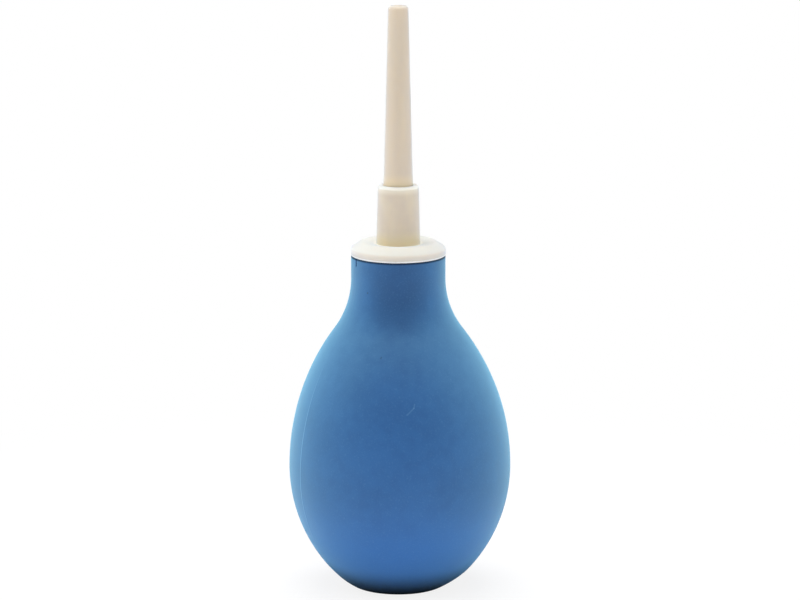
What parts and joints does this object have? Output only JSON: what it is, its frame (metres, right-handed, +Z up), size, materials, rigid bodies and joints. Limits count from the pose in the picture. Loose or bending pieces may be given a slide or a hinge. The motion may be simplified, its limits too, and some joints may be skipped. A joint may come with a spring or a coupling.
{
  "type": "enema syringe",
  "caption": "Pear-shaped soft squeeze bulb on a flat foot, closed by a flanged hard plug that carries a long tapered screw-in nozzle, for drawing up and squeezing out liquid.",
  "frame": {"origin": "centre of the flat foot, on the surface that the bulb stands on", "axes": "+Z up along the common axis of bulb, plug and nozzle; the outside is a solid of revolution, and -Y is the side seen in the picture"},
  "size_m": [0.07, 0.07, 0.1848],
  "materials": {
    "bulb_pvc": "soft moulded, satin",
    "gasket_white": "soft, matte",
    "plug_cream": "moulded, satin",
    "washer_white": "soft, matte",
    "nozzle_cream": "moulded, smooth satin"
  },
  "bodies": {
    "bulb": {"bulb": "bulb_pvc"},
    "neck": {"neck_gasket": "gasket_white"},
    "plug": {"neck_plug": "plug_cream"},
    "seal": {"nozzle_washer": "washer_white"},
    "nozzle": {"nozzle": "nozzle_cream"}
  },
  "joints": [
    {"name": "bulb_press", "type": "slide", "parent": "bulb", "child": "neck", "axis": [0, 0, -1], "range_m": [0, 0.026], "stiffness_N_per_m": 700, "deforming": ["bulb"]},
    {"name": "plug_pull", "type": "slide", "parent": "neck", "child": "plug", "axis": [0, 0, 1], "range_m": [0, 0.018]},
    {"name": "nozzle_lift", "type": "slide", "parent": "plug", "child": "seal", "axis": [0, 0, 1], "range_m": [0, 0.012]},
    {"name": "nozzle_turn", "type": "hinge", "parent": "seal", "child": "nozzle", "pos_m": [0, 0, 0.1279], "axis": [0, 0, 1], "range_deg": [0, 1450]}
  ],
  "couplings": [
    {"joint": "nozzle_turn", "follows": "nozzle_lift", "rad_per_m": 2094.4}
  ]
}
